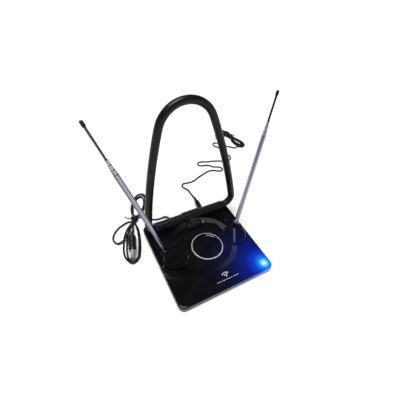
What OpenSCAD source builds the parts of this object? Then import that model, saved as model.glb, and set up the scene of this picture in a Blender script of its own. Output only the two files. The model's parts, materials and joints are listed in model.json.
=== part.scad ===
// Amplified indoor television antenna: flat square base, two telescopic rods on clevis
// swivels, and a tilting plastic loop. Millimetres, +Z up, origin at the centre of the
// anti-slip pad's underside, +X to the right seen from the front, +Y to the back.

/* [Base] */
// Width and depth of the square base
base_w = 160; // [150:1:170]
// Height of the base's top face above the table
base_h = 10.4; // [10:0.1:12]
// Corner radius of the base in plan
base_r = 10; // [8:1:14]
// Wall thickness of the base shell
wall = 2; // [1.6:0.1:2.2]

/* [Dome] */
// Radius of the dome's foot on the base
dome_foot_r = 55; // [52:1:56]
// Radius of the dome's flat top
dome_top_r = 42; // [40:1:44]
// Height of the dome's flat top above the table
dome_h = 17.5; // [17:0.1:18]
// Radius of the gain knob
knob_r = 23.8; // [20:0.2:24]

/* [Rods] */
// Azimuth of the right rod, from +X towards +Y; the left rod mirrors it
rod_az = 35.4; // [20:0.2:60]
// Elevation of the left rod at rest
left_el = 69.2; // [60:0.1:75]
// Elevation of the right rod at rest
right_el = 68.3; // [60:0.1:75]
// How far the left tip rod stands out of its tube, without the cap
left_tip_out = 42; // [20:1:80]
// How far the right tip rod stands out of its tube, without the cap
right_tip_out = 35; // [20:1:80]

/* [Loop] */
// Diameter of the loop's plastic tube
loop_d = 12; // [10:0.5:12]
// Height of the loop's centreline, measured along its plane
loop_h = 223.2; // [210:1:240]
// How far the right leg slopes below the top arc, which sets how wide the loop stands
right_shoulder = 20; // [18:0.5:21]
// The same for the left leg, which stands a little closer in
left_shoulder = 17; // [15:0.5:19]
// Backward lean of the loop at rest
loop_lean = 6.64; // [2:0.5:8]

/* [Cords] */
// Diameter of the coaxial lead and of the power lead
cord_d = 3; // [2.8:0.1:3.2]

/* [Hidden] */
$fn = 48;
half = base_w / 2;
case_z = 1;             // underside of the case, on top of the anti-slip pad
floor_t = 2;            // thickness of the bottom cover
roof_z = base_h - wall; // underside of the base's roof
edge_f = 2.4;           // rounding of the base's top edge
cord_r = cord_d / 2;

// Dome and ears
dome_foot_y = 5;
dome_top_y = -2;
dome_wall = 2.6;
ear_x = 53;
ear_y = -4;
ear_r = 19.5;
ear_h = 18;
knob_y = -6.5;
knob_z = 16.6;          // underside of the knob, in its recess
knob_top = 19.4;
ring_r = knob_r + 1.8;
shaft_r = 3;

// Rod pivots, sockets and swivels
pivot_x = 64.6;
pivot_y = 10.7;
pivot_z = 24.8;
socket_r = 7;
stem_r = 2.5;
pin_r = 1;
run = 0.1;              // radial running clearance of the telescopic tubes
tube_wall = 0.4;
section_r = [3.5, 3, 2.5, 2, 1.5];
section_top = [150, 157, 164, 171];
section_len = 139;
tip_len = 141;
cap_len = 7;

// Loop outline in its own plane: top arc, slightly bulged legs, bottom bends, straight run
loop_y = 51.8;
top_r = 43;
leg_r = 900;            // radius of the legs' slight bulge
run_v = 28;             // height of the straight run along the plane
right_bend_r = 16;
left_bend_r = 10;
top_v = loop_h - top_r;
sleeve_half = 61;
sleeve_r = 7;

// Knuckle on which the loop tilts
hinge_y = 39;
hinge_z = 21;
hinge_r = 6;
hinge_pin_r = 2;
sleeve_y = loop_y + run_v * sin(loop_lean);
sleeve_z = run_v * cos(loop_lean);

// Inlets in the back wall
jack_x = 34;
jack_z = 5.8;
gland_x = -29;
gland_z = 5;
gland_out = 84;

// Screws
case_screw_x = 70;
case_screw_y = 58;
board_y = 12;
board_z = 4.6;
board_t = 1.6;
post_x = 32;
post_y = 27;

// Status light near the front right corner
led_x = half - 12;
led_y = 11.4 - half;

// Plugs: a point on the axis, the direction angle and the height of the axis
iec_at = [-98, 72];
iec_dir = 251.9;
iec_z = 6.5;
usb_at = [203.2, 308.5];
usb_dir = 247.8;
usb_z = 3.95;

// Free routes of the two leads, chosen by hand, at the tube's centre
coax_route = [
    [-29, 83.9, 5], [-30.5, 88, 4.4], [-35, 91, 2.8], [-42, 91.5, 1.7], [-50, 93, 1.5],
    [-57, 97, 1.5], [-64, 102, 1.5], [-71, 108, 1.5], [-75.5, 112, 1.5]
];
power_route = [
    [36.4, 109.9, 5.8], [36.6, 115, 4.4], [36.8, 121, 2.2], [36.8, 130, 1.5], [36, 140, 1.5],
    [32, 147.5, 1.5], [30.5, 154.5, 1.5], [36, 160.5, 1.5], [45, 159, 1.5], [59, 159.5, 1.5],
    [72, 165, 1.5], [90, 171.5, 1.5], [105, 175.5, 1.5], [115.5, 173, 1.5], [124, 167, 1.5],
    [133, 166, 1.5], [136, 173.5, 1.5], [129.5, 180.5, 1.5], [121, 184.5, 1.5], [116, 191, 1.5],
    [108, 196.5, 1.5], [99.5, 198, 1.5], [92.5, 203.5, 1.5], [96.5, 211, 1.5], [106.5, 211, 1.5],
    [117, 206.5, 1.5], [128, 204, 1.5], [139, 200.5, 1.5], [149, 195, 1.5], [158, 191, 1.5],
    [168, 192, 1.5], [175.5, 198.5, 1.5], [176, 208, 1.5], [171.5, 217.5, 1.5], [170.5, 228, 1.5],
    [171, 239, 1.5], [168.5, 249, 1.5], [163.5, 256.5, 1.5], [165, 264.5, 1.5], [172.5, 267, 1.5],
    [179, 261, 1.5], [184.5, 252.5, 1.5], [191.5, 244, 1.5], [200, 234.5, 1.5], [208.5, 228.5, 1.5],
    [219, 227, 1.5]
];
usb_route = [
    [217, 304.5, 1.5], [216, 312, 1.5], [211, 317.5, 1.8], [205.5, 317.2, 2.6],
    [203.2, 313.2, 3.6], [203.2, 308.6, 3.95]
];

// ---- helpers ----
function unit(v) = v / norm(v);
function tangent(p, i) = unit(p[min(i + 1, len(p) - 1)] - p[max(i - 1, 0)]);
function ring_at(c, t, r, n) =
    let (s = unit(cross(t, [0, 0, 1])), u = cross(s, t))
    [for (k = [0 : n - 1]) c + r * (s * cos(360 * k / n) + u * sin(360 * k / n))];

// Round tube swept along a route, closed at both ends
module swept_tube(route, r, sides = 8) {
    last = len(route) - 1;
    points = [for (i = [0 : last]) each ring_at(route[i], tangent(route, i), r, sides)];
    sides_faces = [for (i = [0 : last - 1], k = [0 : sides - 1])
        [i * sides + k, i * sides + (k + 1) % sides,
         (i + 1) * sides + (k + 1) % sides, (i + 1) * sides + k]];
    start = [for (k = [sides - 1 : -1 : 0]) k];
    finish = [for (k = [0 : sides - 1]) last * sides + k];
    polyhedron(points, concat(sides_faces, [start], [finish]), convexity = 6);
}

module rounded_square(w, r) {
    square([w - 2 * r, w], center = true);
    square([w, w - 2 * r], center = true);
    for (x = [-1, 1], y = [-1, 1]) translate([x * (w / 2 - r), y * (w / 2 - r)]) circle(r);
}

// Square slab with round corners and a rounded top edge
module slab(w, r, z0, z1, f) {
    h = z1 - z0;
    profile = concat([[0, 0], [r, 0]],
        [for (a = [0 : 15 : 90]) [r - f + f * cos(a), h - f + f * sin(a)]], [[0, h]]);
    inset = w / 2 - r;
    translate([0, 0, z0]) {
        translate([-inset, -inset, 0]) cube([2 * inset, 2 * inset, h]);
        for (k = [0 : 3]) rotate([0, 0, 90 * k]) {
            translate([inset, inset, 0]) rotate([90, 0, 0]) linear_extrude(2 * inset) polygon(profile);
            translate([inset, inset, 0]) rotate_extrude(angle = 90) polygon(profile);
        }
    }
}

module stadium(p, q, r) {
    hull() for (c = [p, q]) translate(c) circle(r, $fn = 32);
}

module tube(r_out, r_in, h) {
    difference() {
        cylinder(r = r_out, h = h);
        translate([0, 0, -1]) cylinder(r = r_in, h = h + 2);
    }
}

module at_corners(x, y) {
    for (sx = [-1, 1], sy = [-1, 1]) translate([sx * x, sy * y, 0]) children();
}

module both_sides() {
    for (s = [-1, 1]) translate([s * pivot_x, pivot_y, 0]) children();
}

// ---- case ----
module base_top_cover() {
    color("#101012") difference() {
        union() {
            difference() {
                slab(base_w, base_r, case_z, base_h, edge_f);
                linear_extrude(roof_z) rounded_square(base_w - 2 * wall, base_r - wall);
            }
            at_corners(case_screw_x, case_screw_y) translate([0, 0, case_z + floor_t])
                cylinder(r = 3.2, h = roof_z - case_z - floor_t + 0.5);
        }
        at_corners(case_screw_x, case_screw_y) translate([0, 0, case_z]) cylinder(r = 1.25, h = 7);
        translate([0, knob_y, roof_z - 1]) cylinder(r = 30, h = wall + 2);
        both_sides() translate([0, 0, roof_z - 1]) cylinder(r = stem_r + 0.3, h = wall + 2);
        translate([led_x, led_y, roof_z - 1]) cylinder(r = 1.5, h = wall + 2);
        translate([jack_x, half + 1, jack_z]) rotate([90, 0, 0]) cylinder(r = 2.2, h = wall + 2);
        translate([gland_x, half + 1, gland_z]) rotate([90, 0, 0]) cylinder(r = 3, h = wall + 2);
    }
}

module base_bottom_cover() {
    color("#161618") difference() {
        union() {
            translate([0, 0, case_z]) linear_extrude(floor_t)
                rounded_square(base_w - 2 * wall - 0.4, base_r - wall - 0.2);
            translate([0, board_y, case_z + floor_t]) at_corners(post_x, post_y)
                cylinder(r = 2.6, h = board_z - case_z - floor_t);
        }
        at_corners(case_screw_x, case_screw_y) {
            translate([0, 0, case_z - 1]) cylinder(r = 1.5, h = floor_t + 2);
            translate([0, 0, case_z - 1]) cylinder(r = 2.6, h = 2.2);
        }
        translate([0, board_y, case_z + 0.6]) at_corners(post_x, post_y) cylinder(r = 0.9, h = 5);
        translate([gland_x - 4, half - 5, 1.2]) cube([8, 5, 4]);
    }
}

module antislip_pad() {
    color("#1c1c1c") linear_extrude(case_z) difference() {
        rounded_square(128, 8);
        rounded_square(98, 5);
    }
}

module ballast_plate() {
    color("#8a8d90") translate([-60, -68, case_z + floor_t]) cube([120, 36, 3]);
}

module case_screws() {
    color("#b0b2b5") at_corners(case_screw_x, case_screw_y) translate([0, 0, case_z]) {
        difference() {
            cylinder(r = 2.4, h = 1.2);
            translate([-0.4, -1.8, -1]) cube([0.8, 3.6, 1.6]);
        }
        translate([0, 0, 1.2]) cylinder(r = 1.25, h = 5.6);
    }
}

// Sloped round dome with an ear towards each rod
module dome_hull(foot_r, roof_r, z_foot, z_top) {
    hull() {
        translate([0, dome_foot_y, z_foot]) cylinder(r = foot_r, h = 0.6, $fn = 96);
        translate([0, dome_top_y, z_top - 1.2]) cylinder(r1 = roof_r + 1.2, r2 = roof_r, h = 1.2, $fn = 96);
    }
}

module dome_cover() {
    color("#0e0e10") difference() {
        union() {
            dome_hull(dome_foot_r, dome_top_r, base_h, dome_h);
            for (s = [-1, 1]) translate([s * ear_x, ear_y, base_h]) {
                cylinder(r = ear_r, h = ear_h - base_h - 1.2);
                translate([0, 0, ear_h - base_h - 1.2]) cylinder(r1 = ear_r, r2 = ear_r - 1.2, h = 1.2);
            }
        }
        dome_hull(dome_foot_r - dome_wall, dome_top_r - dome_wall, base_h - 1, dome_h - 3.2);
        for (s = [-1, 1]) translate([s * ear_x, ear_y, base_h - 1])
            cylinder(r = ear_r - dome_wall, h = ear_h - base_h - 1.4);
        translate([0, knob_y, knob_z - 0.4]) cylinder(r = ring_r + 0.3, h = 5);
        translate([0, knob_y, base_h]) cylinder(r = 4, h = 10);
        both_sides() translate([0, 0, base_h - 1]) cylinder(r = socket_r, h = 12);
        translate([-6.5, hinge_y, hinge_z]) rotate([0, 90, 0]) cylinder(r = hinge_r + 0.1, h = 13);
        translate([13.5, hinge_y, hinge_z]) rotate([0, 90, 0]) cylinder(r = hinge_r - 0.2, h = 4);
    }
}

module swivel_sockets() {
    color("#0c0c0d") both_sides() translate([0, 0, base_h]) difference() {
        union() {
            cylinder(r = socket_r, h = 6.8);
            translate([0, 0, 6.8]) cylinder(r1 = socket_r, r2 = socket_r - 1, h = 1);
        }
        translate([0, 0, -1]) cylinder(r = stem_r + 0.08, h = 12);
    }
}

// ---- electronics ----
module amplifier_board() {
    color("#0b5a2c") translate([0, board_y, board_z]) difference() {
        translate([-37, -32, 0]) cube([74, 64, board_t]);
        at_corners(post_x, post_y) translate([0, 0, -1]) cylinder(r = 1.3, h = 4);
    }
}

module board_parts() {
    top = board_z + board_t;
    color("#2a2a2c") {
        for (k = [0 : 3]) translate([-30 + 9 * k, 4, top]) cube([3.2, 1.6, 0.8]);
        for (k = [0 : 2]) translate([15 + 7 * k, 28, top]) cube([5, 4, 1.4]);
        for (k = [0 : 3]) translate([14 + 6 * k, 8, top]) cylinder(r = 1.6, h = 1.8);
        translate([18, 16, top]) cube([9, 6, 1.5]);
    }
}

module shield_can() {
    color("#b9bbbe") translate([-16, 24, board_z + board_t]) difference() {
        translate([-14, -9, 0]) cube([28, 18, 2]);
        translate([-13.6, -8.6, -1]) cube([27.2, 17.2, 2.6]);
    }
}

module board_screws() {
    color("#c4c6c8") translate([0, board_y, board_z]) at_corners(post_x, post_y) {
        translate([0, 0, board_t]) cylinder(r = 2.1, h = 1.2);
        translate([0, 0, -2.4]) cylinder(r = 0.9, h = 2.4 + board_t);
    }
}

module potentiometer() {
    top = board_z + board_t;
    color("#6f7276") translate([0, knob_y, 0]) difference() {
        union() {
            translate([-8, -8, top]) cube([16, 16, 7.2]);
            translate([0, 0, top + 7.2]) cylinder(r = 3.8, h = knob_z - 0.6 - top - 7.2);
        }
        translate([0, 0, top + 5]) cylinder(r = shaft_r + 0.05, h = 12);
    }
}

module power_led() {
    color("#9fdcff") translate([led_x, led_y, roof_z - 1.4]) {
        cylinder(r = 2.1, h = 1.2);
        cylinder(r = 1.45, h = 3.2);
        translate([0, 0, 3.2]) cylinder(r1 = 1.45, r2 = 0.9, h = 0.5);
    }
}

module dc_jack() {
    color("#1a1a1c") translate([jack_x, half - wall, jack_z]) difference() {
        union() {
            translate([-3.4, -13.4, -2.5]) cube([6.8, 13.4, 5]);
            rotate([-90, 0, 0]) cylinder(r = 2.15, h = wall);
        }
        translate([0, -11, 0]) rotate([-90, 0, 0]) cylinder(r = 1.85, h = 20);
    }
}

module coax_gland() {
    color("#151515") translate([gland_x, half, gland_z]) rotate([-90, 0, 0]) difference() {
        union() {
            translate([0, 0, -4]) cylinder(r = 3.5, h = 1.9);
            translate([0, 0, -3]) cylinder(r = 2.95, h = 4);
            cylinder(r = 3.6, h = 1.4);
            translate([0, 0, 1.4]) cylinder(r1 = 2.7, r2 = 2.1, h = gland_out - half - 1.4);
        }
        translate([0, 0, -5]) cylinder(r = 1.2, h = 6);
    }
}

// ---- gain knob ----
module gain_knob() {
    h = knob_top - knob_z;
    color("#0d0d0f") translate([0, knob_y, knob_z]) difference() {
        rotate_extrude($fn = 96) polygon([[0, 0], [knob_r, 0], [knob_r, h - 1.1], [knob_r - 0.4, h - 0.5],
            [knob_r - 1.2, h], [knob_r - 3.4, h], [knob_r - 4.4, h - 0.5], [0, h - 0.8]]);
        translate([0, 0, -1]) cylinder(r = shaft_r, h = 2.6);
        rotate([0, 0, 15]) translate([5, -0.7, h - 1.2]) cube([14, 1.4, 2]);
    }
}

module knob_ring() {
    color("#d9dbdd") translate([0, knob_y, knob_z]) rotate_extrude($fn = 96)
        polygon([[knob_r, 0], [ring_r, 0], [ring_r, 1.2], [ring_r - 0.5, 1.7], [knob_r, 1.7]]);
}

module pot_shaft() {
    base = board_z + board_t + 5.2;
    color("#a7aaad") translate([0, knob_y, base]) cylinder(r = shaft_r, h = knob_z + 1.5 - base);
}

// ---- telescopic rods: side is -1 for the left and 1 for the right ----
function azimuth(side) = side > 0 ? rod_az : 180 - rod_az;
function elevation(side) = side > 0 ? right_el : left_el;
function tip_out(side) = side > 0 ? right_tip_out : left_tip_out;

module at_pivot(side) {
    translate([side * pivot_x, pivot_y, pivot_z]) rotate([0, 0, azimuth(side)]) children();
}

module along_rod(side) {
    at_pivot(side) rotate([0, 90 - elevation(side), 0]) children();
}

module swivel(side) {
    disc_z = base_h + 7.8 + 0.2 - pivot_z;
    color("#141416") at_pivot(side) difference() {
        union() {
            translate([0, 0, disc_z]) cylinder(r = 5.4, h = 1.6);
            translate([0, 0, 6.4 - pivot_z]) cylinder(r = stem_r, h = disc_z - 6.4 + pivot_z);
            for (s = [-1, 1]) translate([0, s * 2.4, 0]) {
                translate([-3.4, -1, disc_z + 1.6]) cube([6.8, 2, -disc_z - 1.6]);
                rotate([90, 0, 0]) cylinder(r = 3.8, h = 2, center = true);
            }
        }
        rotate([90, 0, 0]) cylinder(r = pin_r, h = 10, center = true);
    }
}

module swivel_nut(side) {
    color("#9b9ea2") translate([side * pivot_x, pivot_y, 6.4]) difference() {
        cylinder(r = 4.4, h = 1.8, $fn = 6);
        translate([0, 0, -1]) cylinder(r = stem_r, h = 4);
    }
}

module pivot_pin(side) {
    color("#e3e5e7") at_pivot(side) rotate([90, 0, 0]) {
        cylinder(r = pin_r, h = 6.8, center = true);
        for (s = [0, 1]) rotate([0, 180 * s, 0]) translate([0, 0, 3.4]) cylinder(r1 = 1.9, r2 = 1.3, h = 0.9);
    }
}

module section_1(side) {
    r = section_r[0];
    color("#d2d5d9") along_rod(side) difference() {
        union() {
            translate([0, 0, 6.6]) cylinder(r = r, h = section_top[0] - 7.2);
            translate([0, 0, section_top[0] - 0.6]) cylinder(r1 = r, r2 = r - 0.25, h = 0.6);
            translate([-3.2, -1.2, 0]) cube([6.4, 2.4, 7]);
            rotate([90, 0, 0]) cylinder(r = 3.2, h = 2.4, center = true);
        }
        translate([0, 0, 10]) cylinder(r = r - tube_wall, h = section_top[0]);
        rotate([90, 0, 0]) cylinder(r = pin_r + 0.05, h = 6, center = true);
    }
}

// Sections 2 to 4: plain thin tubes with a rolled mouth, open at the bottom
module section_n(side, n) {
    r = section_r[n - 1];
    top = section_top[n - 1];
    color("#d2d5d9") along_rod(side) difference() {
        union() {
            translate([0, 0, top - section_len]) cylinder(r = r, h = section_len - 0.5);
            translate([0, 0, top - 0.5]) cylinder(r1 = r, r2 = r - 0.2, h = 0.5);
        }
        translate([0, 0, top - section_len - 1]) cylinder(r = section_r[n] + run, h = section_len + 2);
    }
}

module tip_rod(side) {
    color("#d7dadd") along_rod(side) translate([0, 0, section_top[3] + tip_out(side) - tip_len])
        cylinder(r = section_r[4], h = tip_len + 4);
}

module tip_cap(side) {
    color("#141414") along_rod(side) translate([0, 0, section_top[3] + tip_out(side)]) difference() {
        union() {
            cylinder(r = 2.2, h = cap_len - 1);
            translate([0, 0, cap_len - 1]) cylinder(r1 = 2.2, r2 = 1.3, h = 1);
        }
        translate([0, 0, -1]) cylinder(r = section_r[4], h = 5);
    }
}

// ---- loop ----
module in_loop_plane() {
    translate([0, loop_y, 0]) rotate([90 - loop_lean, 0, 0]) children();
}

// Points on an arc in the loop's plane, without its first one
function arc_points(c, r, a, b, n) =
    [for (k = [1 : n]) let (t = a + (b - a) * k / n) [c[0] + r * cos(t), c[1] + r * sin(t), 0]];
// Half of the loop, from the gap in its straight run round the bend and up the leg to the top
function half_loop(gap, shoulder, bend_r) =
    let (leg_u = (top_r - leg_r) * cos(shoulder),
        leg_v = top_v + (top_r - leg_r) * sin(shoulder),
        leg_end = asin((run_v + bend_r - leg_v) / (leg_r - bend_r)),
        bend_u = leg_u + (leg_r - bend_r) * cos(leg_end))
    concat([[gap, run_v, 0], [bend_u, run_v, 0]],
        arc_points([bend_u, run_v + bend_r], bend_r, -90, leg_end, 8),
        arc_points([leg_u, leg_v], leg_r, leg_end, shoulder, 6),
        arc_points([0, top_v], top_r, shoulder, 90, 7));
function full_loop(gap) =
    let (right = half_loop(gap, right_shoulder, right_bend_r),
        left = half_loop(gap, left_shoulder, left_bend_r),
        crown = len(left) - 1)
    concat(right, [for (k = [crown - 1 : -1 : 0]) [-left[k][0], left[k][1], 0]]);

module loop_tube() {
    color("#151517") in_loop_plane() difference() {
        swept_tube(full_loop(5), loop_d / 2, 20);
        swept_tube(full_loop(4), loop_d / 2 - 1.5, 16);
    }
}

module loop_conductor() {
    color("#b87333") in_loop_plane() swept_tube(full_loop(7), 1.3, 8);
}

module loop_sleeve() {
    color("#121214") translate([0, sleeve_y, sleeve_z]) rotate([0, 90, 0]) difference() {
        union() {
            cylinder(r = sleeve_r, h = 2 * sleeve_half, center = true);
            for (s = [-1, 1]) translate([0, 0, s * (sleeve_half - 2)])
                cylinder(r = sleeve_r + 0.5, h = 4, center = true);
            for (s = [-1, 1]) translate([-sleeve_r - 0.4, -0.8, s * 38 - 20]) cube([1.4, 1.6, 40]);
        }
        cylinder(r = loop_d / 2 + 0.05, h = 200, center = true);
    }
}

// Clamp around the sleeve, with the middle lug of the tilting knuckle
module loop_clamp() {
    reach = norm([sleeve_y - hinge_y, sleeve_z - hinge_z]);
    rise = atan2(sleeve_z - hinge_z, sleeve_y - hinge_y);
    color("#17171a") difference() {
        union() {
            translate([-13.5, sleeve_y, sleeve_z]) rotate([0, 90, 0]) cylinder(r = 8.8, h = 29);
            translate([-5.6, hinge_y, hinge_z]) rotate([rise, 0, 0])
                translate([0, 0, -4.2]) cube([11.2, reach, 8.4]);
            translate([-6, hinge_y, hinge_z]) rotate([0, 90, 0]) cylinder(r = hinge_r - 0.2, h = 12);
        }
        translate([-20, sleeve_y, sleeve_z]) rotate([0, 90, 0]) cylinder(r = sleeve_r + 0.6, h = 40);
        translate([-20, hinge_y, hinge_z]) rotate([0, 90, 0]) cylinder(r = hinge_pin_r + 0.05, h = 40);
        for (x = [-10, 12]) translate([x, sleeve_y, sleeve_z]) rotate([loop_lean - 90, 0, 0])
            translate([0, 0, 7]) cylinder(r = 1.2, h = 5);
    }
}

module clamp_screws() {
    color("#b4b7ba") for (x = [-10, 12]) translate([x, sleeve_y, sleeve_z])
        rotate([loop_lean - 90, 0, 0]) {
            translate([0, 0, sleeve_r + 0.65]) cylinder(r = 1.2, h = 1);
            translate([0, 0, 8.8]) cylinder(r1 = 2.2, r2 = 1.7, h = 0.8);
            translate([0, 0, sleeve_r + 1.5]) cylinder(r = 1.2, h = 0.5);
        }
}

module loop_bracket() {
    color("#111113") difference() {
        for (s = [-1, 1]) translate([s * 10 - 3.4, hinge_y, hinge_z]) {
            rotate([0, 90, 0]) cylinder(r = hinge_r, h = 6.8);
            translate([0, -5, dome_h - hinge_z - 2.2]) cube([6.8, 10, hinge_z - dome_h + 2.2]);
        }
        dome_hull(dome_foot_r, dome_top_r, base_h, dome_h);
        translate([-30, hinge_y, hinge_z]) rotate([0, 90, 0]) cylinder(r = hinge_pin_r, h = 60);
    }
}

module hinge_pin() {
    color("#dcdee0") translate([-13.2, hinge_y, hinge_z]) rotate([0, 90, 0]) {
        cylinder(r = hinge_pin_r, h = 26.8);
        translate([0, 0, 26.8]) cylinder(r1 = 5.2, r2 = 4.2, h = 1.4);
        translate([0, 0, 28.2]) cylinder(r1 = 4.2, r2 = 1.6, h = 1.2);
    }
}

// ---- coaxial lead ----
module coax_lead() {
    color("#18181a") swept_tube(coax_route, cord_r);
}

module plug_axis(at, dir, z) {
    translate([at[0], at[1], z]) rotate([0, 0, dir]) rotate([0, 90, 0]) children();
}

module coax_hank() {
    color("#1b1b1d") linear_extrude(9) difference() {
        union() {
            stadium([-74, 124], [-55, 156], 12);
            stadium([-76, 122], [-92, 94], 6);
            stadium([-96, 88], [-110, 49], 18);
        }
        translate(iec_at) rotate(iec_dir) translate([-8, -7.4]) square([80, 14.8]);
    }
}

module coax_tie() {
    color("#2b2b2d") translate([-84, 108, 0]) rotate([0, 0, atan2(-28, -16)]) difference() {
        translate([-2, -7, 0]) cube([4, 14, 10]);
        translate([-3, -6, -1]) cube([6, 12, 10]);
    }
}

module iec_body() {
    color("#141416") plug_axis(iec_at, iec_dir, iec_z) {
        translate([0, 0, -8]) cylinder(r1 = 2.2, r2 = 3.4, h = 8);
        cylinder(r1 = 4.6, r2 = 6.2, h = 3);
        translate([0, 0, 3]) cylinder(r = 6.2, h = 24);
        translate([0, 0, 27]) cylinder(r1 = 6.2, r2 = 5.4, h = 4);
    }
}

module iec_shell() {
    color("#cfd2d5") plug_axis(iec_at, iec_dir, iec_z) translate([0, 0, 31]) tube(4.75, 4.2, 14.5);
}

module iec_insulator() {
    color("#e8e6de") plug_axis(iec_at, iec_dir, iec_z) translate([0, 0, 31]) tube(4.2, 1.2, 4);
}

module iec_pin() {
    color("#d8c27a") plug_axis(iec_at, iec_dir, iec_z) translate([0, 0, 31]) {
        cylinder(r = 1.2, h = 11.4);
        translate([0, 0, 11.4]) cylinder(r1 = 1.2, r2 = 0.6, h = 0.8);
    }
}

// ---- power lead ----
module dc_plug_body() {
    color("#141416") translate([jack_x, half + 0.2, jack_z]) rotate([-90, 0, atan2(-2.4, 29.8)]) {
        cylinder(r = 4.2, h = 18);
        translate([0, 0, 18]) cylinder(r1 = 4.2, r2 = 3, h = 3);
        translate([0, 0, 21]) cylinder(r1 = 2.6, r2 = 2, h = 8.8);
    }
}

module dc_plug_barrel() {
    color("#d0d2d4") translate([jack_x, half - 9.2, jack_z]) rotate([-90, 0, 0]) tube(1.75, 0.7, 9.3);
}

module power_lead() {
    color("#18181a") {
        swept_tube(power_route, cord_r);
        swept_tube(usb_route, cord_r);
    }
}

module lead_hank() {
    color("#1b1b1d") linear_extrude(10) {
        stadium([227.5, 232], [223, 260], 9.5);
        stadium([223, 260], [220.5, 284], 5);
        stadium([220.5, 284], [217.8, 297], 8.5);
    }
}

module lead_tie() {
    color("#2b2b2d") translate([221.6, 273, 0]) rotate([0, 0, atan2(24, -2.5)]) difference() {
        translate([-2, -6, 0]) cube([4, 12, 11]);
        translate([-3, -5, -1]) cube([6, 10, 11]);
    }
}

module usb_plug_body() {
    color("#141416") translate([usb_at[0], usb_at[1], usb_z]) rotate([0, 0, usb_dir]) {
        rotate([0, 90, 0]) cylinder(r1 = 2, r2 = 2.8, h = 8);
        translate([8, -6, -3.6]) cube([3, 12, 7.2]);
        translate([11, -7.8, -3.75]) cube([19, 15.6, 7.5]);
    }
}

module usb_plug_shell() {
    color("#cfd2d5") translate([usb_at[0], usb_at[1], usb_z]) rotate([0, 0, usb_dir]) difference() {
        translate([30, -6, -2.25]) cube([14.5, 12, 4.5]);
        translate([31, -5.7, -1.95]) cube([20, 11.4, 2.2]);
    }
}

base_top_cover();
base_bottom_cover();
antislip_pad();
ballast_plate();
case_screws();
dome_cover();
swivel_sockets();
amplifier_board();
board_parts();
shield_can();
board_screws();
potentiometer();
power_led();
dc_jack();
coax_gland();
loop_bracket();
hinge_pin();
gain_knob();
knob_ring();
pot_shaft();
swivel(-1);  // left_swivel
swivel_nut(-1);  // left_swivel_nut
pivot_pin(-1);  // left_pivot_pin
section_1(-1);  // left_section_1
section_n(-1, 2);  // left_section_2
section_n(-1, 3);  // left_section_3
section_n(-1, 4);  // left_section_4
tip_rod(-1);  // left_tip_rod
tip_cap(-1);  // left_tip_cap
swivel(1);  // right_swivel
swivel_nut(1);  // right_swivel_nut
pivot_pin(1);  // right_pivot_pin
section_1(1);  // right_section_1
section_n(1, 2);  // right_section_2
section_n(1, 3);  // right_section_3
section_n(1, 4);  // right_section_4
tip_rod(1);  // right_tip_rod
tip_cap(1);  // right_tip_cap
loop_tube();
loop_conductor();
loop_sleeve();
loop_clamp();
clamp_screws();
coax_lead();
coax_hank();
coax_tie();
iec_body();
iec_shell();
iec_insulator();
iec_pin();
dc_plug_body();
dc_plug_barrel();
power_lead();
lead_hank();
lead_tie();
usb_plug_body();
usb_plug_shell();
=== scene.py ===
"""Indoor television antenna: looks of every piece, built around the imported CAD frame.

Metres, +Z up. Cord routes, ties, the plug's outline and the printed mark are written in millimetres.
"""
import json
import math

import bmesh
import bpy
from mathutils import Matrix, Vector


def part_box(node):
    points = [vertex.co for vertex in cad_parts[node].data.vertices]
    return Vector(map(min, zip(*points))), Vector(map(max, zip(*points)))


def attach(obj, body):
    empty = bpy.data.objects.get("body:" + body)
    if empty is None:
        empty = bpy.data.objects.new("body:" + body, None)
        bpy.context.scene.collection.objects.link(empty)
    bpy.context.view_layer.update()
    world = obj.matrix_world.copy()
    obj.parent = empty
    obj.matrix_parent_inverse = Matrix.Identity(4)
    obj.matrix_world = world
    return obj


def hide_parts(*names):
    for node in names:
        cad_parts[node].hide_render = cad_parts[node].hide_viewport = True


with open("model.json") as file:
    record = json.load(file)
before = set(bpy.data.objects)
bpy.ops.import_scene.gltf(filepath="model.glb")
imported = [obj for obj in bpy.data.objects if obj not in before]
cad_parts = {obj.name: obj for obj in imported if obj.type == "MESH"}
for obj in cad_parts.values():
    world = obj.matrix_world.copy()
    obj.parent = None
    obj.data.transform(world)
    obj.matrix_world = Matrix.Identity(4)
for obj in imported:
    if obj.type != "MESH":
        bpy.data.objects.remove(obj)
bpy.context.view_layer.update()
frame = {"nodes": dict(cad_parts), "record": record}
NODES = frame["nodes"]
MM = 0.001
WELD = 0.00001


def mm(*values):
    return Vector(values) * MM


# ---------------------------------------------------------------- places taken from the frame
def middle(node):
    """Centre of a node's box."""
    low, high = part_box(node)
    return (low + high) / 2


BASE_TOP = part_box("base_top_cover")[1].z
LED = middle("power_led")
SIDES = ("left", "right")
TUBES = (1, 2, 3, 4)


def rod_direction(side):
    """Unit vector along a rod, from its pivot to its cap."""
    return (middle(side + "_tip_cap") - middle(side + "_pivot_pin")).normalized()


# ---------------------------------------------------------------- camera
CAMERA_AT = mm(-141.1, -213.9, 369.0)
CAMERA_YAW = math.radians(30.41)
CAMERA_PITCH = math.radians(44.93)
CAMERA_ROLL = math.radians(4.10)
CAMERA_LENS = 24.005
CAMERA_SENSOR = 36
CAMERA_NEAR = 0.01


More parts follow.
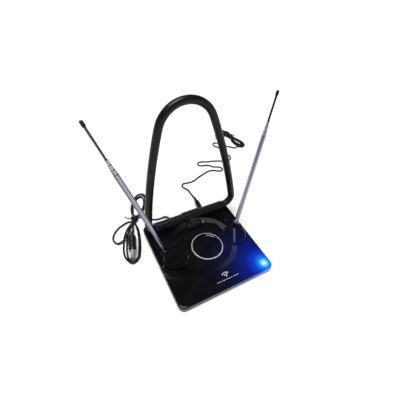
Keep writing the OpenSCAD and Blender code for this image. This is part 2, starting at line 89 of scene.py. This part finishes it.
def make_camera():
    """High, from the front left: yaw turns it to the right, pitch tips it down."""
    level = math.cos(CAMERA_PITCH)
    forward = Vector((
        math.sin(CAMERA_YAW) * level, math.cos(CAMERA_YAW) * level, -math.sin(CAMERA_PITCH)))
    right = Vector((math.cos(CAMERA_YAW), -math.sin(CAMERA_YAW), 0))
    up = right.cross(forward)
    side = math.cos(CAMERA_ROLL) * right + math.sin(CAMERA_ROLL) * up
    top = -math.sin(CAMERA_ROLL) * right + math.cos(CAMERA_ROLL) * up
    data = bpy.data.cameras.new("camera")
    data.sensor_width = CAMERA_SENSOR
    data.lens = CAMERA_LENS
    data.clip_start = CAMERA_NEAR
    cam = bpy.data.objects.new("camera", data)
    turn = Matrix((side, top, -forward)).transposed().to_4x4()
    cam.matrix_world = Matrix.Translation(CAMERA_AT) @ turn
    bpy.context.scene.collection.objects.link(cam)
    bpy.context.scene.camera = cam


# ---------------------------------------------------------------- node materials
def new_material(name):
    mat = bpy.data.materials.new(name)
    mat.use_nodes = True
    return mat, mat.node_tree.nodes, mat.node_tree.links, mat.node_tree.nodes["Principled BSDF"]


def add_noise(nodes, links, scale, detail=3.0, stretch=None):
    """Noise in the object's own coordinates; stretch sets its scale along each axis."""
    coords = nodes.new("ShaderNodeTexCoord")
    mapping = nodes.new("ShaderNodeMapping")
    mapping.inputs["Scale"].default_value = stretch or (1, 1, 1)
    noise = nodes.new("ShaderNodeTexNoise")
    noise.inputs["Scale"].default_value = scale
    noise.inputs["Detail"].default_value = detail
    links.new(coords.outputs["Object"], mapping.inputs["Vector"])
    links.new(mapping.outputs["Vector"], noise.inputs["Vector"])
    return noise


def add_ramp(nodes, links, source, stops):
    """Colour ramp on a value; stops are pairs of a place and a colour."""
    stops = list(stops)
    ramp = nodes.new("ShaderNodeValToRGB")
    while len(ramp.color_ramp.elements) < len(stops):
        ramp.color_ramp.elements.new(0.5)
    for element, (place, colour) in zip(ramp.color_ramp.elements, stops):
        element.position = place
        element.color = (*colour, 1)
    links.new(source, ramp.inputs["Fac"])
    return ramp


def add_range(nodes, links, source, low, high):
    span = nodes.new("ShaderNodeMapRange")
    span.inputs["To Min"].default_value = low
    span.inputs["To Max"].default_value = high
    links.new(source, span.inputs["Value"])
    return span.outputs["Result"]


def add_bump(nodes, links, bsdf, source, strength, distance):
    bump = nodes.new("ShaderNodeBump")
    bump.inputs["Strength"].default_value = strength
    bump.inputs["Distance"].default_value = distance
    links.new(source, bump.inputs["Height"])
    links.new(bump.outputs["Normal"], bsdf.inputs["Normal"])


# Shared by the plain finishes: the spread between the two tones, the coat, and the bump's height and grain
TINT_SPREAD = (0.35, 0.65)
COAT_ROUGHNESS = 0.04
BUMP_SIZE = 0.00005
BUMP_FINENESS = 6


def surface(name, dark, light, rough, grain, metallic=0.0, coat=0.0, bump=0.0, bump_size=BUMP_SIZE,
            stretch=None, specular=0.5):
    """Two-tone noise colour, uneven roughness and a fine bump: the common base of the plain finishes."""
    mat, nodes, links, bsdf = new_material(name)
    noise = add_noise(nodes, links, grain, 4.0, stretch)
    tint = add_ramp(nodes, links, noise.outputs["Fac"], zip(TINT_SPREAD, (dark, light)))
    links.new(tint.outputs["Color"], bsdf.inputs["Base Color"])
    links.new(add_range(nodes, links, noise.outputs["Fac"], *rough), bsdf.inputs["Roughness"])
    bsdf.inputs["Metallic"].default_value = metallic
    bsdf.inputs["Specular IOR Level"].default_value = specular
    bsdf.inputs["Coat Weight"].default_value = coat
    bsdf.inputs["Coat Roughness"].default_value = COAT_ROUGHNESS
    if bump:
        fine = add_noise(nodes, links, grain * BUMP_FINENESS, 2.0, stretch)
        add_bump(nodes, links, bsdf, fine.outputs["Fac"], bump, bump_size)
    return mat


# Painted glow of the status light on the cover, an emission and not cast light: how far it reaches, and
# its colour at fractions of that reach
PAINTED_GLOW_REACH = 0.11
PAINTED_GLOW = [
    (0.0, (0.55, 0.95, 1.0)), (0.04, (0.12, 0.70, 1.0)), (0.08, (0.0, 0.22, 0.95)),
    (0.15, (0.0, 0.04, 0.60)), (0.27, (0.0, 0.008, 0.20)), (0.50, (0.0, 0.002, 0.04)),
    (0.75, (0.0, 0.0004, 0.006)), (1.0, (0, 0, 0)),
]


def painted_glow_surface(name, dark, light, rough):
    """Glossy black plastic with the status light's blue glow painted on as emission, fading away from the
    light.
    """
    mat = surface(name, dark, light, rough, 60, bump=0.03, specular=0.35)
    nodes, links = mat.node_tree.nodes, mat.node_tree.links
    bsdf = nodes["Principled BSDF"]
    coords = nodes.new("ShaderNodeTexCoord")
    away = nodes.new("ShaderNodeVectorMath")
    away.operation = "DISTANCE"
    away.inputs[1].default_value = (LED.x, LED.y, BASE_TOP)
    links.new(coords.outputs["Object"], away.inputs[0])
    reach = nodes.new("ShaderNodeMapRange")
    reach.inputs["From Max"].default_value = PAINTED_GLOW_REACH
    links.new(away.outputs["Value"], reach.inputs["Value"])
    # painted glow: emission colour set by distance from the status light, not light cast by it
    blue = add_ramp(nodes, links, reach.outputs["Result"], PAINTED_GLOW)
    links.new(blue.outputs["Color"], bsdf.inputs["Emission Color"])
    bsdf.inputs["Emission Strength"].default_value = 1.0
    return mat


# The polished rods: the noise of their painted reflection streaks and the spread of their tint, and the
# fine scuffs over them
PAINTED_STREAK_SCALE = 260
PAINTED_STREAK_DETAIL = 1.5
PAINTED_STREAK_SPREAD = (0.42, 0.58)
SCUFF_SCALE = 500
SCUFF_ROUGHNESS = (0.10, 0.24)


def chrome_with_painted_streaks(name, side, dark, light):
    """Polished tube with painted reflection streaks: the tint changes around the rod and runs unbroken
    along it.
    """
    mat, nodes, links, bsdf = new_material(name)
    along = rod_direction(side)
    across = along.cross(Vector((0, 0, 1))).normalized()
    coords = nodes.new("ShaderNodeTexCoord")
    place = nodes.new("ShaderNodeCombineXYZ")
    for axis, socket in ((across, "X"), (along.cross(across), "Y")):
        dot = nodes.new("ShaderNodeVectorMath")
        dot.operation = "DOT_PRODUCT"
        dot.inputs[1].default_value = axis
        links.new(coords.outputs["Object"], dot.inputs[0])
        links.new(dot.outputs["Value"], place.inputs[socket])
    noise = nodes.new("ShaderNodeTexNoise")
    noise.inputs["Scale"].default_value = PAINTED_STREAK_SCALE
    noise.inputs["Detail"].default_value = PAINTED_STREAK_DETAIL
    links.new(place.outputs["Vector"], noise.inputs["Vector"])
    # painted reflection: dark and light streaks in the base colour, running along the rod
    tint = add_ramp(nodes, links, noise.outputs["Fac"], zip(PAINTED_STREAK_SPREAD, (dark, light)))
    links.new(tint.outputs["Color"], bsdf.inputs["Base Color"])
    scuffs = add_noise(nodes, links, SCUFF_SCALE)
    links.new(add_range(nodes, links, scuffs.outputs["Fac"], *SCUFF_ROUGHNESS), bsdf.inputs["Roughness"])
    bsdf.inputs["Metallic"].default_value = 1.0
    return mat


LENS_GRAIN = 900
LENS_GLOW = [(0.3, (0.35, 0.8, 1.0)), (0.7, (0.75, 0.95, 1.0))]
LENS_COLOUR = (0.5, 0.8, 1.0, 1)
LENS_STRENGTH = 18
LENS_ROUGHNESS = 0.1


def lit_lens(name):
    """Clear blue lens of the status light, lit from inside."""
    mat, nodes, links, bsdf = new_material(name)
    noise = add_noise(nodes, links, LENS_GRAIN)
    glow = add_ramp(nodes, links, noise.outputs["Fac"], LENS_GLOW)
    links.new(glow.outputs["Color"], bsdf.inputs["Emission Color"])
    bsdf.inputs["Emission Strength"].default_value = LENS_STRENGTH
    bsdf.inputs["Base Color"].default_value = LENS_COLOUR
    bsdf.inputs["Roughness"].default_value = LENS_ROUGHNESS
    return mat


# Each finish: its dark and light tone, its range of roughness, and the scale of its grain
MATERIALS = {
    # the glossy black finish carries the painted blue glow of the status light
    "gloss_black": painted_glow_surface(
        "gloss_black", (0.003, 0.003, 0.004), (0.005, 0.005, 0.006), (0.04, 0.10)),
    "satin_black": surface(
        "satin_black", (0.004, 0.004, 0.005), (0.008, 0.008, 0.010), (0.24, 0.34), 220,
        bump=0.04, specular=0.22),
    "inner_black": surface(
        "inner_black", (0.012, 0.012, 0.013), (0.02, 0.02, 0.022), (0.45, 0.6), 150, bump=0.2),
    "pad_rubber": surface(
        "pad_rubber", (0.01, 0.01, 0.01), (0.02, 0.02, 0.02), (0.8, 0.95), 400,
        bump=0.5, bump_size=0.0002),
    "cord_jacket": surface(
        "cord_jacket", (0.003, 0.003, 0.004), (0.006, 0.006, 0.007), (0.34, 0.5), 300,
        bump=0.15, specular=0.25),
    "chrome": surface(
        "chrome", (0.62, 0.63, 0.67), (0.80, 0.81, 0.84), (0.07, 0.2), 90,
        metallic=1.0, bump=0.04, stretch=(6, 6, 1)),
    "bright_metal": surface(
        "bright_metal", (0.80, 0.80, 0.82), (0.92, 0.92, 0.93), (0.30, 0.42), 300,
        metallic=1.0, bump=0.05),
    "ballast_steel": surface(
        "ballast_steel", (0.35, 0.36, 0.37), (0.5, 0.51, 0.52), (0.35, 0.55), 120,
        metallic=1.0, bump=0.15, stretch=(1, 14, 1)),
    "fastener_steel": surface(
        "fastener_steel", (0.5, 0.51, 0.52), (0.68, 0.69, 0.7), (0.2, 0.4), 300,
        metallic=1.0, bump=0.1),
    "board_green": surface(
        "board_green", (0.008, 0.12, 0.04), (0.015, 0.2, 0.07), (0.2, 0.35), 250, coat=0.3),
    "chip_black": surface(
        "chip_black", (0.02, 0.02, 0.022), (0.04, 0.04, 0.042), (0.4, 0.6), 900, bump=0.2),
    "tinplate": surface(
        "tinplate", (0.5, 0.51, 0.52), (0.68, 0.69, 0.7), (0.15, 0.35), 80,
        metallic=1.0, bump=0.05),
    "led_glow": lit_lens("led_glow"),
    "copper": surface(
        "copper", (0.6, 0.27, 0.12), (0.85, 0.45, 0.25), (0.2, 0.4), 200, metallic=1.0),
    "plug_insulator": surface(
        "plug_insulator", (0.6, 0.58, 0.52), (0.75, 0.73, 0.68), (0.3, 0.5), 300, bump=0.1),
    "gold_pin": surface(
        "gold_pin", (0.7, 0.5, 0.2), (0.9, 0.7, 0.38), (0.12, 0.25), 300, metallic=1.0),
}


def rod_chromes(name, dark, light):
    """One chrome for each side, because its painted reflection streaks run along that side's rod."""
    return {side: chrome_with_painted_streaks(f"{side}_{name}", side, dark, light) for side in SIDES}


# rod and tip chromes carry painted reflection streaks
ROD_CHROME_PAINTED_STREAKS = rod_chromes("chrome_with_painted_streaks", (0.10, 0.10, 0.13), (0.60, 0.61, 0.70))
TIP_CHROME_PAINTED_STREAKS = rod_chromes("tip_chrome", (0.02, 0.02, 0.025), (0.10, 0.10, 0.12))
BRIGHT_NODES = ("knob_ring", "iec_shell", "usb_plug_shell")


def paint(obj, slot_name):
    obj.data.materials.clear()
    obj.data.materials.append(MATERIALS[slot_name])


def paint_frame():
    """Each node gets its slot's material; rods, ring and plug shells then get their own metals."""
    slots = {s["node"]: s["material_slot"] for s in frame["record"]["subparts"]}
    for name, obj in NODES.items():
        obj.data.materials.clear()
        obj.data.materials.append(MATERIALS[slots[name]])
    for side in SIDES:
        for k in TUBES:
            NODES[f"{side}_section_{k}"].data.materials[0] = ROD_CHROME_PAINTED_STREAKS[side]
        NODES[side + "_tip_rod"].data.materials[0] = TIP_CHROME_PAINTED_STREAKS[side]
    for name in BRIGHT_NODES:
        NODES[name].data.materials[0] = MATERIALS["bright_metal"]


# ---------------------------------------------------------------- mesh helpers
def link(obj, body, slot_name):
    bpy.context.scene.collection.objects.link(obj)
    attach(obj, body)
    paint(obj, slot_name)
    return obj


def mesh_piece(name, verts, faces, body, slot_name, smooth=True):
    data = bpy.data.meshes.new(name)
    data.from_pydata([tuple(v) for v in verts], [], faces)
    data.update()
    bm = bmesh.new()
    bm.from_mesh(data)
    bmesh.ops.recalc_face_normals(bm, faces=bm.faces)
    bm.to_mesh(data)
    bm.free()
    if smooth:
        data.shade_smooth()
    obj = bpy.data.objects.new(name, data)
    return link(obj, body, slot_name)


def catmull(points, steps):
    """Smooth line through points: a centripetal Catmull-Rom spline, with steps points to each span."""
    pts = [2 * points[0] - points[1]] + list(points) + [2 * points[-1] - points[-2]]
    line = []
    for k in range(1, len(pts) - 2):
        p = pts[k - 1:k + 3]
        t = [0.0]
        for a, b in zip(p, p[1:]):
            t.append(t[-1] + max((b - a).length, 1e-6) ** 0.5)
        for n in range(steps):
            x = t[1] + (t[2] - t[1]) * n / steps
            a1 = p[0] * ((t[1] - x) / (t[1] - t[0])) + p[1] * ((x - t[0]) / (t[1] - t[0]))
            a2 = p[1] * ((t[2] - x) / (t[2] - t[1])) + p[2] * ((x - t[1]) / (t[2] - t[1]))
            a3 = p[2] * ((t[3] - x) / (t[3] - t[2])) + p[3] * ((x - t[2]) / (t[3] - t[2]))
            b1 = a1 * ((t[2] - x) / (t[2] - t[0])) + a2 * ((x - t[0]) / (t[2] - t[0]))
            b2 = a2 * ((t[3] - x) / (t[3] - t[1])) + a3 * ((x - t[1]) / (t[3] - t[1]))
            line.append(b1 * ((t[2] - x) / (t[2] - t[1])) + b2 * ((x - t[1]) / (t[2] - t[1])))
    line.append(points[-1].copy())
    return line


def curve_piece(name, line, radius, body, slot_name, rounding=4):
    data = bpy.data.curves.new(name, "CURVE")
    data.dimensions = "3D"
    data.bevel_depth = 1.0
    data.bevel_resolution = rounding
    data.use_fill_caps = True
    spline = data.splines.new("POLY")
    spline.points.add(len(line) - 1)
    for point, place in zip(spline.points, line):
        point.co = (*place, 1)
        point.radius = radius
    spline.use_smooth = True
    obj = bpy.data.objects.new(name, data)
    return link(obj, body, slot_name)


# ---------------------------------------------------------------- cords
CORD_D = 3.0
CORD_R = CORD_D / 2
COAX_STEPS = 6
POWER_STEPS = 5


def on_table(line):
    """The line with no point lower than a cord lying on the table."""
    return [Vector((p.x, p.y, max(p.z, CORD_R * MM))) for p in line]


# The free routes, as in part.scad
COAX_ROUTE = [
    (-29, 83.9, 5), (-30.5, 88, 4.4), (-35, 91, 2.8), (-42, 91.5, 1.7), (-50, 93, 1.5),
    (-57, 97, 1.5), (-64, 102, 1.5), (-71, 108, 1.5), (-75.5, 112, 1.5),
]
POWER_ROUTE = [
    (36.4, 109.9, 5.8), (36.6, 115, 4.4), (36.8, 121, 2.2), (36.8, 130, 1.5), (36, 140, 1.5),
    (32, 147.5, 1.5), (30.5, 154.5, 1.5), (36, 160.5, 1.5), (45, 159, 1.5), (59, 159.5, 1.5),
    (72, 165, 1.5), (90, 171.5, 1.5), (105, 175.5, 1.5), (115.5, 173, 1.5), (124, 167, 1.5),
    (133, 166, 1.5), (136, 173.5, 1.5), (129.5, 180.5, 1.5), (121, 184.5, 1.5), (116, 191, 1.5),
    (108, 196.5, 1.5), (99.5, 198, 1.5), (92.5, 203.5, 1.5), (96.5, 211, 1.5), (106.5, 211, 1.5),
    (117, 206.5, 1.5), (128, 204, 1.5), (139, 200.5, 1.5), (149, 195, 1.5), (158, 191, 1.5),
    (168, 192, 1.5), (175.5, 198.5, 1.5), (176, 208, 1.5), (171.5, 217.5, 1.5), (170.5, 228, 1.5),
    (171, 239, 1.5), (168.5, 249, 1.5), (163.5, 256.5, 1.5), (165, 264.5, 1.5), (172.5, 267, 1.5),
    (179, 261, 1.5), (184.5, 252.5, 1.5), (191.5, 244, 1.5), (200, 234.5, 1.5), (208.5, 228.5, 1.5),
    (219, 227, 1.5),
]
USB_ROUTE = [
    (217, 304.5, 1.5), (216, 312, 1.5), (211, 317.5, 1.8), (205.5, 317.2, 2.6),
    (203.2, 313.2, 3.6), (203.2, 308.6, 3.95),
]


# Ties: the direction of each bundle and the half width of its band
TIE_ANGLE = {"coax_tie": math.atan2(28, 16), "lead_tie": math.atan2(24, -2.5)}
TIE_HALF_W = {"coax_tie": 6.0, "lead_tie": 5.4}
TIE_R = 0.6
TIE_TURNS = 3
TIE_STEPS = 24
TIE_SPAN = 2.2
TIE_SMOOTHING = 3

# The tie's tail: its length in steps, how far each goes out and along, its twist, and its lie
TAIL_STEPS = 16
TAIL_OUT = 0.9
TAIL_SLANT = 0.25
TAIL_TWISTS = 3
TAIL_TWIST_R = 0.5
TAIL_LIFT = 1.0
TAIL_DROP_STEPS = 5


class Flat:
    """A flat frame on the table: an origin, an axis and the direction to its right."""

    def __init__(self, origin, angle):
        self.origin = Vector(origin)
        self.axis = Vector((math.cos(angle), math.sin(angle)))
        self.right = Vector((self.axis.y, -self.axis.x))

    def at(self, along, across, z):
        p = self.origin + self.axis * along + self.right * across
        return Vector((p.x, p.y, z))


def coax_line():
    """Lead, three upper and three lower loops through the tie, then the plug's own stretch."""
    tie = (-84, 108)
    upper = Flat(tie, math.radians(60.5))
    lower = Flat((-98, 72), math.radians(251.9))
    neck = Flat(tie, math.radians(64))
    slots = [(3.1, 1.5), (0, 1.5), (-3.1, 1.5), (3.1, 4.6), (0, 4.6), (-3.1, 4.6), (0, 7.6)]

    def through(k, up):
        across, z = slots[k]
        pair = [neck.at(-3.5, across, z), neck.at(3.5, across, z)]
        return pair if up else pair[::-1]

    def lower_loop(e, z):
        # the lower frame points away from the tie, so its right hand is the loop's left side
        left = [(-22, 5.5 + 0.9 * e), (-6, 9 + 1.5 * e), (14, 10 + 1.6 * e), (31, 9.2 + 1.5 * e),
                (41.5, 6.8 + e)]
        front = [(48 + 0.9 * e, 0)]
        right = [(43, -7 - 0.6 * e), (31, -9 - 0.6 * e), (12, -9.4 - 0.6 * e), (-6, -8.2 - 0.5 * e),
                 (-22, -5.2 - 0.3 * e)]
        return [lower.at(s, t, z) for s, t in left + front + right]

    def upper_loop(e, z, reach):
        down = [(13, 5 + 0.5 * e), (32, 8.6 + e), (reach - 14, 8 + e), (reach - 3, 4 + e / 2)]
        peak = [(reach, -1)]
        back = [(reach - 6, -7 - e / 2), (reach - 20, -9.2 - e), (28, -9 - e), (12, -5.5 - 0.5 * e)]
        return [upper.at(s, t, z) for s, t in down + peak + back]

    wide = [(-97, 107, 2.2), (-111, 103, 1.5), (-123, 94, 1.5), (-129.5, 81, 1.5), (-126, 70, 2.4),
            (-117, 69, 4.4), (-108, 76, 4.9), (-100, 87, 4.7), (-93, 97, 4.0)]
    line = [Vector(p) for p in COAX_ROUTE[:-1]]
    line += through(0, False) + lower_loop(0.0, 1.5) + through(1, True) + upper_loop(0.0, 1.5, 58)
    line += through(2, False) + [Vector(p) for p in wide] + through(3, True) + upper_loop(1.6, 4.5, 63)
    line += through(4, False) + lower_loop(3.3, 1.6) + through(5, True) + upper_loop(3.4, 1.6, 67)
    line += through(6, False) + [lower.at(-24, 0.8, 6.8), lower.at(-15, 0.2, 6.5), lower.at(-7.9, 0, 6.5)]
    return line


def power_line():
    """Zigzag on the table, four turns of the hank through its tie, then over its far end to the plug."""
    hank = Flat((221.6, 273), math.atan2(64, -9.5))
    slots = [(-3, 1.5), (0, 1.5), (3, 1.5), (-3, 4.5), (0, 4.5), (3, 4.5), (-3, 7.5), (0, 7.5), (3, 7.5)]
    turns = [(0, 1.5), (3.2, 1.5), (1.6, 4.3), (4.8, 4.3)]

    def through(k, up):
        across, z = slots[k]
        pair = [hank.at(-3, across, z), hank.at(3, across, z)]
        return pair if up else pair[::-1]

    def half_turn(sign, reach, width, z):
        side = [(11, 0.62), (reach - 13, 1.0), (reach - 4, 0.8)]
        line = [(s, -w) for s, w in side] + [(reach, 0)] + [(s, w) for s, w in side[::-1]]
        return [hank.at(sign * s, sign * w * width, z) for s, w in line]

    line = [Vector(p) for p in POWER_ROUTE[:-1]]
    line += [hank.at(-33, 6.5, 1.5), hank.at(-16, 5.5, 1.5)]
    for k, (e, z) in enumerate(turns):
        line += through(2 * k, True) + half_turn(1, 30 - e, 9.6 - e, z)
        line += through(2 * k + 1, False) + half_turn(-1, 48 - e, 10.2 - e, z)
    last = 2 * len(turns)
    line += through(last, True) + [hank.at(16, -1, 7.4), hank.at(25, 0, 7.4), hank.at(32, 0.2, 5.6)]
    return line


def wire_tie(name, node, tail_side):
    """Wire tie: three turns round the bundle and a twisted tail, in place of the node's plain band."""
    low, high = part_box(node)
    centre = (low + high) / 2
    flat = Flat((centre.x / MM, centre.y / MM), TIE_ANGLE[node])
    half_w = TIE_HALF_W[node]
    half_h = (high.z - low.z) / 2 / MM - TIE_R
    steps = TIE_TURNS * TIE_STEPS
    line = []
    for k in range(steps + 1):
        turn = 2 * math.pi * k / TIE_STEPS
        squash = 1 / (abs(math.cos(turn)) ** 3 + abs(math.sin(turn)) ** 3) ** (1 / 3)
        along = TIE_SPAN * (k / steps - 0.5)
        across = half_w * squash * math.cos(turn)
        line.append(flat.at(along, across, half_h + TIE_R + half_h * squash * math.sin(turn)))
    start = line[-1]
    for k in range(1, TAIL_STEPS + 1):
        twist = 2 * math.pi * TAIL_TWISTS * k / TAIL_STEPS
        along = TIE_SPAN / 2 + TAIL_TWIST_R * math.cos(twist) + TAIL_SLANT * k
        across = tail_side * (half_w + TAIL_OUT * k)
        drop = start.z + (TIE_R + TAIL_LIFT - start.z) * min(1, k / TAIL_DROP_STEPS)
        line.append(flat.at(along, across, drop + TAIL_TWIST_R * math.sin(twist)))
    wire = catmull([p * MM for p in line], TIE_SMOOTHING)
    tie = curve_piece(name, wire, TIE_R * MM, "base", "satin_black", rounding=3)
    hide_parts(node)
    return tie


# The aerial plug's grip: places along it from its front face, negative towards the cord, and radii.
# SHELL_HALF is half the length of the metal shell in front of it.
SHELL_HALF = 7.25
GRIP_AROUND = 40
GRIP_R = 6.2
GROOVE_R = 5.75
RIBS = 8
RIB_PITCH = 2.6
FIRST_RIB = -27
RIB = [(0, GRIP_R), (0.9, GRIP_R), (1.25, GROOVE_R), (2.1, GROOVE_R), (2.45, GRIP_R)]
GRIP_TAIL = [(-39, 0), (-39, 2.2), (-31.2, 3.4), (-31, 4.6), (-30.4, 5.2), (-28, 6.0)]
GRIP_NOSE = [(-4.6, 6.2), (-4, 6.0), (-0.6, 5.5), (0, 5.0), (0, 0)]


def grip_profile():
    """The grip's outline as distance along it and radius: tail, ribs with a groove each, nose."""
    ribs = []
    for k in range(RIBS):
        at = FIRST_RIB + RIB_PITCH * k
        ribs += [(at + x, r) for x, r in RIB]
    return GRIP_TAIL + ribs + GRIP_NOSE


def plug_grip():
    """Moulded grip of the aerial plug: a turned body with finger ribs and a stepped, tapering tail."""
    nose = middle("iec_shell")
    way = nose - middle("iec_body")
    way.z = 0
    way.normalize()
    side = Vector((0, 0, 1)).cross(way)
    face = nose - way * SHELL_HALF * MM
    profile = grip_profile()
    verts = []
    for x, r in profile:
        for n in range(GRIP_AROUND):
            t = 2 * math.pi * n / GRIP_AROUND
            spoke = side * r * math.cos(t) + Vector((0, 0, r * math.sin(t)))
            verts.append(face + (way * x + spoke) * MM)
    faces = []
    for k in range(len(profile) - 1):
        here, beyond = k * GRIP_AROUND, (k + 1) * GRIP_AROUND
        for n in range(GRIP_AROUND):
            m = (n + 1) % GRIP_AROUND
            faces.append((here + n, here + m, beyond + m, beyond + n))
    grip = mesh_piece("iec_grip", verts, faces, "base", "satin_black")
    weld = grip.modifiers.new("weld", "WELD")
    weld.merge_threshold = WELD
    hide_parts("iec_body")
    return grip


def coax_cord():
    """The coaxial lead from its grommet to the aerial plug, with its plug and tie."""
    line = on_table(catmull([p * MM for p in coax_line()], COAX_STEPS))
    cord = curve_piece("coax_cable", line, CORD_R * MM, "base", "cord_jacket")
    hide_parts("coax_lead", "coax_hank")
    plug_grip()
    wire_tie("coax_wire_tie", "coax_tie", -1)


def power_cord():
    """The power lead from the DC plug to the USB plug, with its tie."""
    points = power_line() + [Vector(p) for p in USB_ROUTE[1:]]
    line = on_table(catmull([p * MM for p in points], POWER_STEPS))
    cord = curve_piece("power_cable", line, CORD_R * MM, "base", "cord_jacket")
    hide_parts("power_lead", "lead_hank")
    wire_tie("power_wire_tie", "lead_tie", 1)


# ---------------------------------------------------------------- loop
FACE_ANGLE = math.radians(25)
SHAPE_ANGLE = math.radians(60)


def smooth_loop():
    """The bent tube with a rounder skin than its faceted frame piece."""
    data = NODES["loop_tube"].data.copy()
    data.name = "loop_skin"
    bm = bmesh.new()
    bm.from_mesh(data)
    bmesh.ops.remove_doubles(bm, verts=bm.verts, dist=WELD)
    bmesh.ops.join_triangles(bm, faces=bm.faces, angle_face_threshold=FACE_ANGLE,
                             angle_shape_threshold=SHAPE_ANGLE)
    bmesh.ops.recalc_face_normals(bm, faces=bm.faces)
    bm.to_mesh(data)
    bm.free()
    data.shade_smooth()
    skin = link(bpy.data.objects.new("loop_skin", data), "loop", "satin_black")
    rounder = skin.modifiers.new("rounder", "SUBSURF")
    rounder.levels = 1
    rounder.render_levels = 1
    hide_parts("loop_tube")


# ---------------------------------------------------------------- printed mark
MARK_X = 3.0
MARK_AT = (MARK_X, -62.5)
ARC_RADII = (3.4, 6.6)
ARC_W = 0.9
ARC_SWEEP = (35, 145, 14)
DOT_R = 0.45
DOT_SWEEP = (0, 350, 12)
RULE_Y = -67.0
RULE_HALF = 18.5
RULE_W = 0.45
INK_T = 0.06


def ribbon(points, width):
    """Flat strip of ink along a line of points, in millimetres, on the base's top."""
    verts = []
    faces = []
    for k, p in enumerate(points):
        before = Vector(points[max(k - 1, 0)])
        after = Vector(points[min(k + 1, len(points) - 1)])
        way = (after - before).normalized()
        side = Vector((-way.y, way.x)) * width / 2
        for sign, z in ((1, 0), (1, INK_T), (-1, INK_T), (-1, 0)):
            flat = mm(p[0] + sign * side.x, p[1] + sign * side.y, 0)
            verts.append(flat + Vector((0, 0, BASE_TOP + z * MM)))
    for k in range(len(points) - 1):
        for n in range(4):
            m = (n + 1) % 4
            faces.append((4 * k + n, 4 * k + m, 4 * k + 4 + m, 4 * k + 4 + n))
    last = 4 * (len(points) - 1)
    faces += [(0, 1, 2, 3), (last + 3, last + 2, last + 1, last)]
    return verts, faces


def arc(centre, radius, start, end, steps):
    """Points on a circle between two angles in degrees."""
    turns = [math.radians(start + (end - start) * k / steps) for k in range(steps + 1)]
    return [(centre[0] + radius * math.cos(t), centre[1] + radius * math.sin(t)) for t in turns]


def printed_mark():
    """Generic broadcast mark, two arcs over a dot, and a thin rule under it."""
    strokes = [(arc(MARK_AT, r, *ARC_SWEEP), ARC_W) for r in ARC_RADII]
    strokes.append((arc(MARK_AT, DOT_R, *DOT_SWEEP), ARC_W))
    strokes.append(([(-RULE_HALF + MARK_X, RULE_Y), (RULE_HALF + MARK_X, RULE_Y)], RULE_W))
    verts = []
    faces = []
    for points, width in strokes:
        strip_verts, strip_faces = ribbon(points, width)
        faces += [tuple(n + len(verts) for n in face) for face in strip_faces]
        verts += strip_verts
    mesh_piece("printed_mark", verts, faces, "base", "plug_insulator", smooth=False)


# ---------------------------------------------------------------- stage
FLOOR_HALF = 14.0
FLOOR_COLOUR = (0.9, 0.9, 0.9, 1)
FLOOR_ROUGHNESS = 0.7

# The sky's colour by height, from the horizon at 0 to overhead at 1, and the sun's way down
SKY = [
    (0.0, (0.95, 0.96, 1.0)), (0.22, (0.60, 0.62, 0.68)),
    (0.42, (0.06, 0.06, 0.075)), (1.0, (0.04, 0.04, 0.05)),
]
SKY_STRENGTH = 0.8
SUN_WAY = (0.12, 0.0, -1.0)
SUN_ENERGY = 3.7
SUN_WIDTH = math.radians(35)


def make_stage():
    data = bpy.data.meshes.new("floor")
    corners = [(-1, -1), (1, -1), (1, 1), (-1, 1)]
    data.from_pydata([(x * FLOOR_HALF, y * FLOOR_HALF, 0) for x, y in corners], [], [(0, 1, 2, 3)])
    floor = bpy.data.objects.new("floor", data)
    bpy.context.scene.collection.objects.link(floor)
    mat, _, _, bsdf = new_material("floor")
    bsdf.inputs["Base Color"].default_value = FLOOR_COLOUR
    bsdf.inputs["Roughness"].default_value = FLOOR_ROUGHNESS
    data.materials.append(mat)


def make_sky():
    """A studio sky: bright near the horizon, dark overhead."""
    world = bpy.data.worlds.new("world")
    world.use_nodes = True
    nodes, links = world.node_tree.nodes, world.node_tree.links
    coords = nodes.new("ShaderNodeTexCoord")
    split = nodes.new("ShaderNodeSeparateXYZ")
    links.new(coords.outputs["Generated"], split.inputs["Vector"])
    sky = add_ramp(nodes, links, split.outputs["Z"], SKY)
    links.new(sky.outputs["Color"], nodes["Background"].inputs["Color"])
    nodes["Background"].inputs["Strength"].default_value = SKY_STRENGTH
    bpy.context.scene.world = world


def make_sun():
    """A wide, soft sun almost overhead."""
    data = bpy.data.lights.new("sun", "SUN")
    data.energy = SUN_ENERGY
    data.angle = SUN_WIDTH
    sun = bpy.data.objects.new("sun", data)
    sun.rotation_euler = Vector(SUN_WAY).to_track_quat("-Z", "Y").to_euler()
    bpy.context.scene.collection.objects.link(sun)


make_camera()
coax_cord()
power_cord()
paint_frame()
smooth_loop()
printed_mark()
make_stage()
make_sky()
make_sun()
bpy.context.scene.view_settings.view_transform = "Standard"

bpy.context.view_layer.update()
